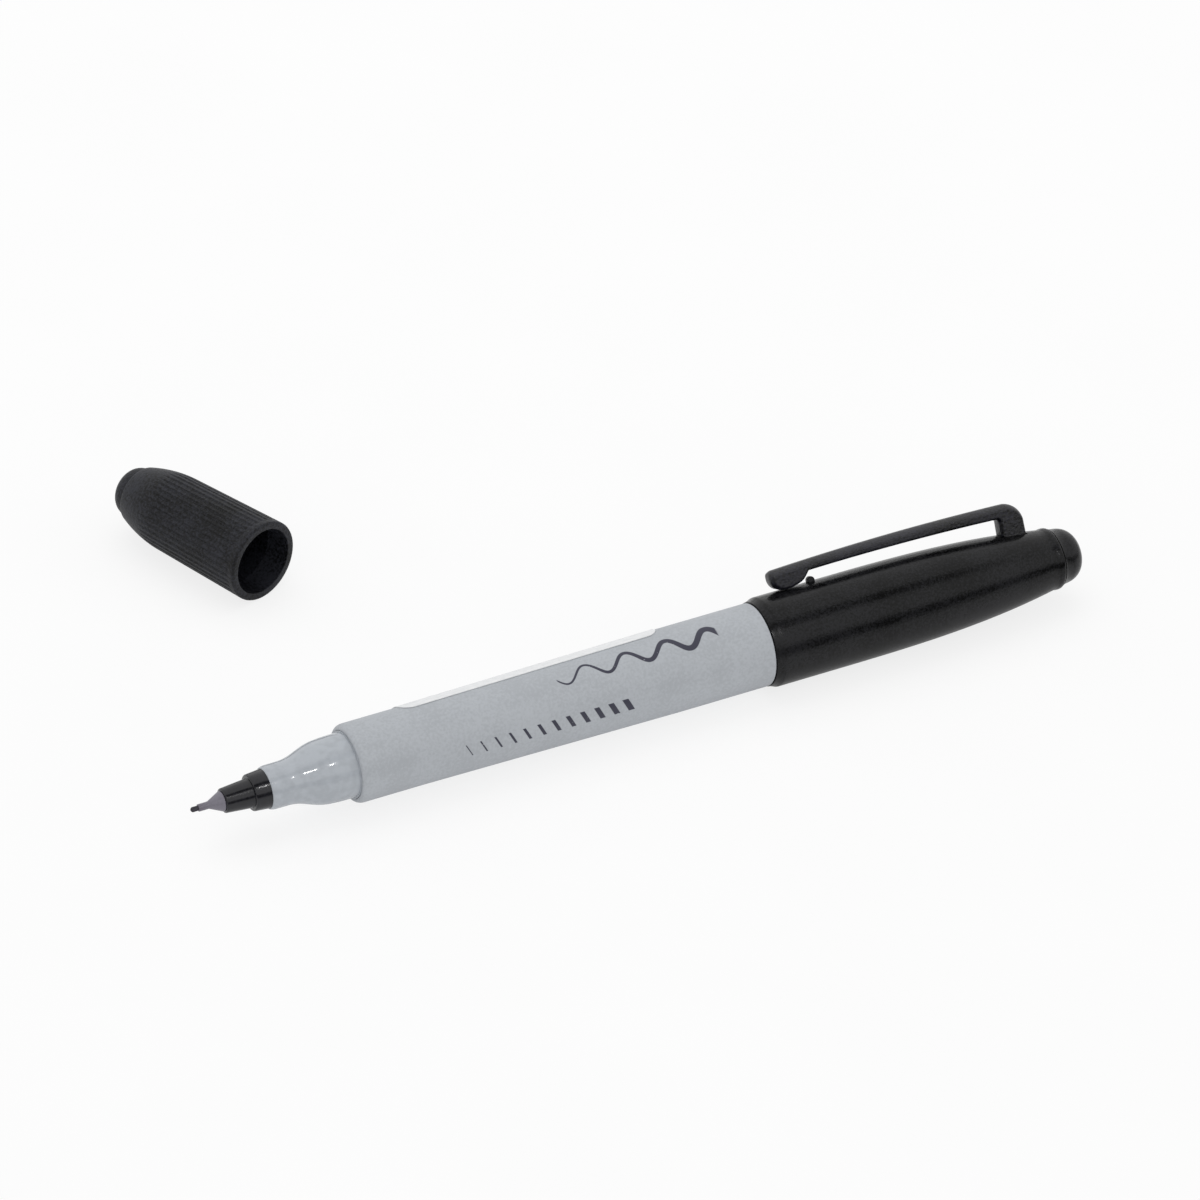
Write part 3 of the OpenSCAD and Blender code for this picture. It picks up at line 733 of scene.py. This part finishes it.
# Small cap liner: the sealing cup for the needle, moulded in the same black plastic.
# Its stud goes through the end of the ribbed cap and ends in the domed button.
seal_r = 3.89
seal_bore = 3.19
seal_mouth = 9.1
seal_straight_end = 15.2
holder_room = 2.47
needle_room = 1.315
needle_room_end = 23.9
small_button_back = small_len + 0.03
small_liner = turned("small_cap_liner_cup", softened([
    (0, needle_room_end), (needle_room, needle_room_end), (needle_room, 21.3), (holder_room, 19.2),
    (holder_room, 16), (seal_bore, seal_straight_end), (seal_bore, seal_mouth + cup_lead),
    (seal_bore + cup_lead, seal_mouth), (seal_r, seal_mouth, 0.1), (seal_r, seal_straight_end), (3.4, 23.3),
    (stud_r, 23.3), (stud_r, small_button_back),
    *dome(3.75, small_button_back, 2.95, 2.7, 24)]), on_small_cap, 120)
small_liner.data.materials.append(ribbed_plastic)
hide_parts("small_cap_liner")
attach(small_liner, "ribbed_cap")

# Studio: a white floor under the marker, and an even white surround. In reflections the surround has
# gaps between its panels, and the floor ends a little in front of the marker.
# A large soft box hangs overhead, and two small lamps by the camera put glints on the polished nose.
floor_z = -(large_r + 0.04) * MM
mesh = bmesh.new()
bmesh.ops.create_grid(
    mesh, x_segments=1, y_segments=1, size=1.5, matrix=Matrix.Translation((0, 0, floor_z)))
floor = made("floor", mesh)
floor_white, at = finish("floor_white", {"Roughness": 0.9, "Specular IOR Level": 0.0})
cloudy = at.noise(30.0, 3.0).step(0.2, 0.8)
feed(floor_white, {"Base Color": cloudy.blend(tint(243, 243, 243), tint(247, 247, 247))})
floor_nodes = floor_white.node_tree.nodes
lit = Shade(floor_white.node_tree, floor_nodes["Principled BSDF"].outputs[0])
seen = lit.node("LightPath", out="Is Camera Ray")
glow = lit.node("Emission", {}, {"Color": (1, 1, 1, 1), "Strength": 1.0})
unlit = lit.node("Emission", {}, {"Color": (0, 0, 0, 1), "Strength": 0.0})
beyond = (0 - at.axis("Y")).step(0.02, 0.08) * lit.node("LightPath", out="Is Glossy Ray")
shown = lit.node("MixShader", {}, {0: 0.3 + 0.5 * seen, 1: lit, 2: glow})
shown = lit.node("MixShader", {}, {0: 0.9 * beyond, 1: shown, 2: unlit})
floor_white.node_tree.links.new(shown.socket, floor_nodes["Material Output"].inputs["Surface"])
floor.data.materials.append(floor_white)

surround = bpy.data.worlds.new("surround")
surround.use_nodes = True
bpy.context.scene.world = surround
sky = Shade(surround.node_tree)
gaze = sky.node("TexCoord", out="Generated")
ahead = 0 - gaze.axis("Y")
above = gaze.axis("Z")
front = ahead.step(0, 1)
roof_gap = abs(ahead.math("ARCTAN2", above) - math.radians(22)).step(math.radians(13), math.radians(6))
roof_gap = roof_gap * gaze.axis("X").step(0.62, 0.45)
low_gap = abs(above).step(0.1 + 0.17 * front, 0.02 + 0.11 * front)
panels = 1 - 0.9 * roof_gap.math("MAXIMUM", low_gap)
mirrored = sky.node("LightPath", out="Is Glossy Ray").math(
    "MAXIMUM", sky.node("LightPath", out="Is Transmission Ray"))
direct = sky.node("LightPath", out="Is Camera Ray")
level = direct + (1 - direct) * (mirrored * panels + (1 - mirrored) * (0.755 + 0.16 * front))
backdrop = surround.node_tree.nodes["Background"]
backdrop.inputs["Color"].default_value = (1, 1, 1, 1)
surround.node_tree.links.new(level.socket, backdrop.inputs["Strength"])

bpy.context.scene.view_settings.view_transform = "Standard"
aim = Vector((-0.01527, 0.0040, 0.01191))
azimuth = math.radians(-27.317)
elevation = math.radians(33.936)
camera_away = 1.2
lamp_away = 1.0
glints = {
    "glint_right": (Vector((0.125, -0.63, 0.765)), 2.6),
    "glint_left": (Vector((-0.323, -0.6, 0.73)), 2.0),
}


def placed(name, data, direction, distance):
    """A lamp or the camera, that far from the aim in that direction and turned to it."""
    thing = bpy.data.objects.new(name, data)
    thing.location = aim + direction.normalized() * distance
    thing.rotation_euler = direction.to_track_quat("Z", "Y").to_euler()
    bpy.context.scene.collection.objects.link(thing)
    return thing


soft_box = bpy.data.lights.new("soft_box", "AREA")
soft_box.shape = "SQUARE"
soft_box.size = 0.9
soft_box.energy = 2.6
placed("soft_box", soft_box, Vector((0.1, 0.4, 1)), lamp_away).visible_glossy = False
for name, (direction, power) in glints.items():
    glint = bpy.data.lights.new(name, "POINT")
    glint.shadow_soft_size = 0.02
    glint.energy = power
    placed(name, glint, direction, lamp_away).visible_diffuse = False

to_camera = Vector((
    math.sin(azimuth) * math.cos(elevation), -math.cos(azimuth) * math.cos(elevation), math.sin(elevation)))
camera_data = bpy.data.cameras.new("camera")
camera_data.lens = 263.15
camera_data.sensor_width = 36
camera_data.clip_start = 0.05
camera_data.clip_end = 20
bpy.context.scene.camera = placed("camera", camera_data, to_camera, camera_away)
